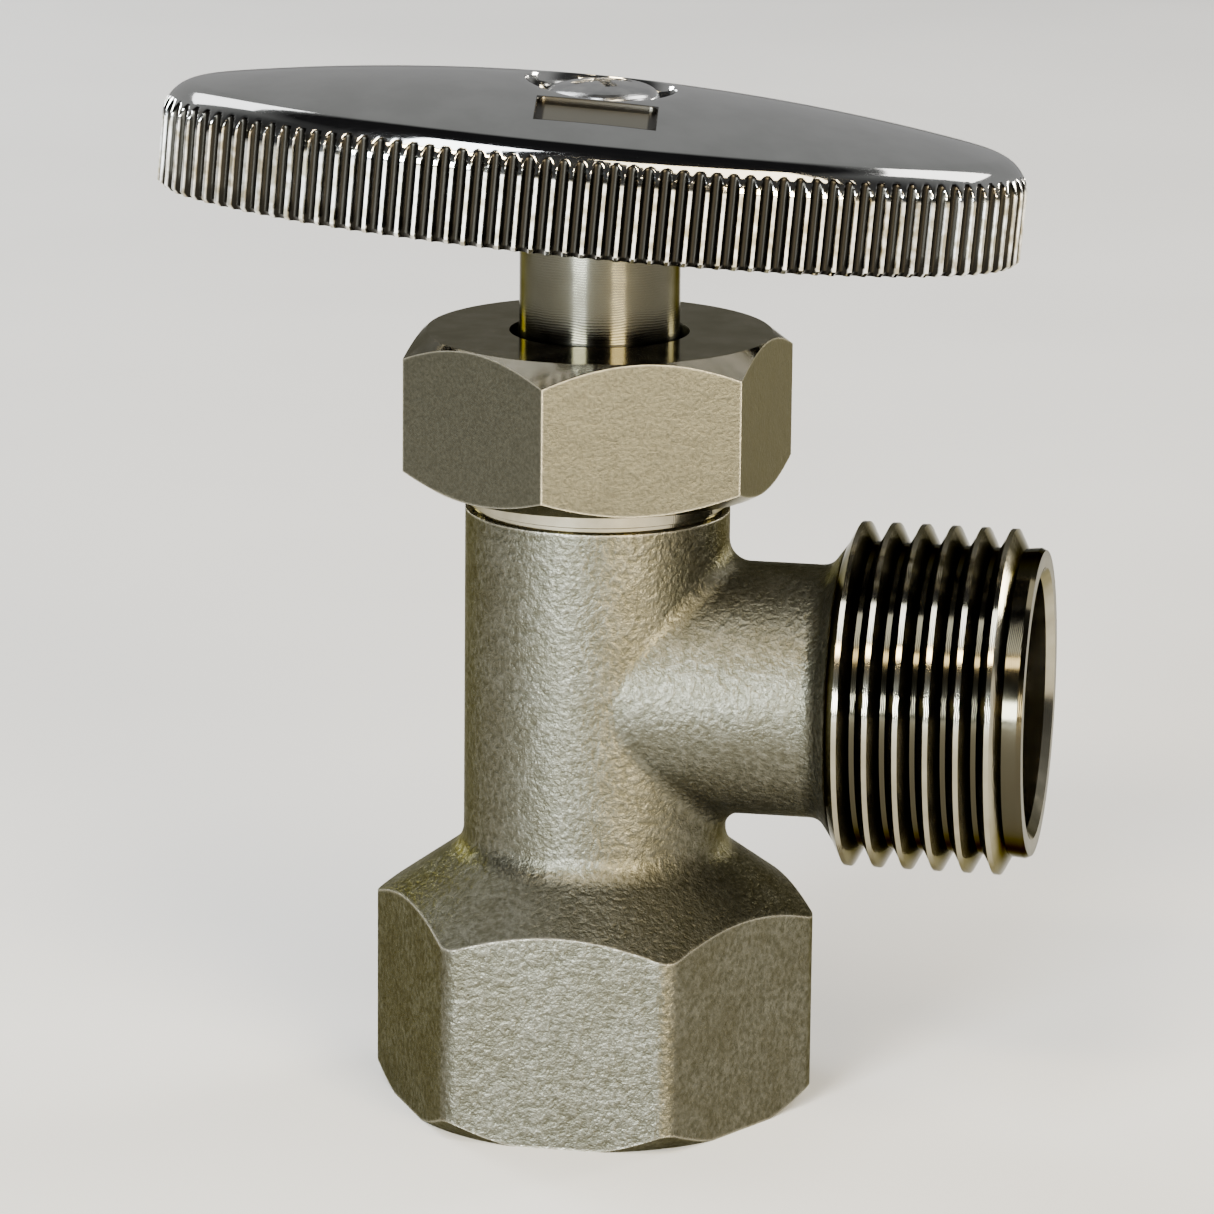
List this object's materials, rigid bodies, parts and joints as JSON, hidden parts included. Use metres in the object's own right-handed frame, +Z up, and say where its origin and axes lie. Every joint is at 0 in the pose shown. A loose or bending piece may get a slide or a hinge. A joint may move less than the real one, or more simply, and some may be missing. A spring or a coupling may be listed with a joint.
{
  "type": "angle stop valve",
  "caption": "Nickel-plated brass angle stop valve with hexagonal female inlet, male threaded side outlet, hexagonal bonnet nut and oval serrated handle held by a recessed screw.",
  "frame": {"origin": "centre of the inlet's end face, on the valve's axis", "axes": "+Z up the spindle to the handle, +X out of the side outlet"},
  "size_m": [0.0536, 0.0252, 0.0636],
  "materials": {
    "plated_body": "satin nickel plating over forged brass",
    "polished_plate": "polished nickel-chrome plating over brass",
    "handle_chrome": "polished chrome plating over die-cast zinc",
    "bare_brass": "turned, unplated",
    "stainless": "bright",
    "packing": "PTFE, matte",
    "black_rubber": "matte"
  },
  "bodies": {
    "valve_body": {"valve_body": "plated_body", "bonnet_nut": "polished_plate", "packing_washer": "bare_brass", "packing_ring_lower": "packing", "packing_ring_middle": "packing", "packing_ring_upper": "packing", "gland_follower": "bare_brass", "spindle_o_ring": "black_rubber"},
    "jumper": {"jumper": "bare_brass", "jumper_clip": "stainless", "seat_washer": "black_rubber", "washer_plate": "stainless", "washer_screw": "stainless"},
    "spindle": {"spindle": "polished_plate", "handle_washer": "stainless", "handle_screw": "stainless"},
    "handle": {"handle": "handle_chrome"}
  },
  "joints": [
    {"name": "spindle_rise", "type": "slide", "parent": "valve_body", "child": "jumper", "axis": [0, 0, 1], "range_m": [0, 0.003]},
    {"name": "handle_turn", "type": "hinge", "parent": "jumper", "child": "spindle", "pos_m": [0, 0, 0.05], "axis": [0, 0, 1], "range_deg": [0, 540]},
    {"name": "handle_rock", "type": "hinge", "parent": "spindle", "child": "handle", "pos_m": [0, 0, 0.06], "axis": [0.1513, -0.9885, 0], "range_deg": [0, 9.4]}
  ],
  "couplings": [
    {"joint": "spindle_rise", "follows": "handle_turn", "m_per_rad": 0.00031831}
  ]
}
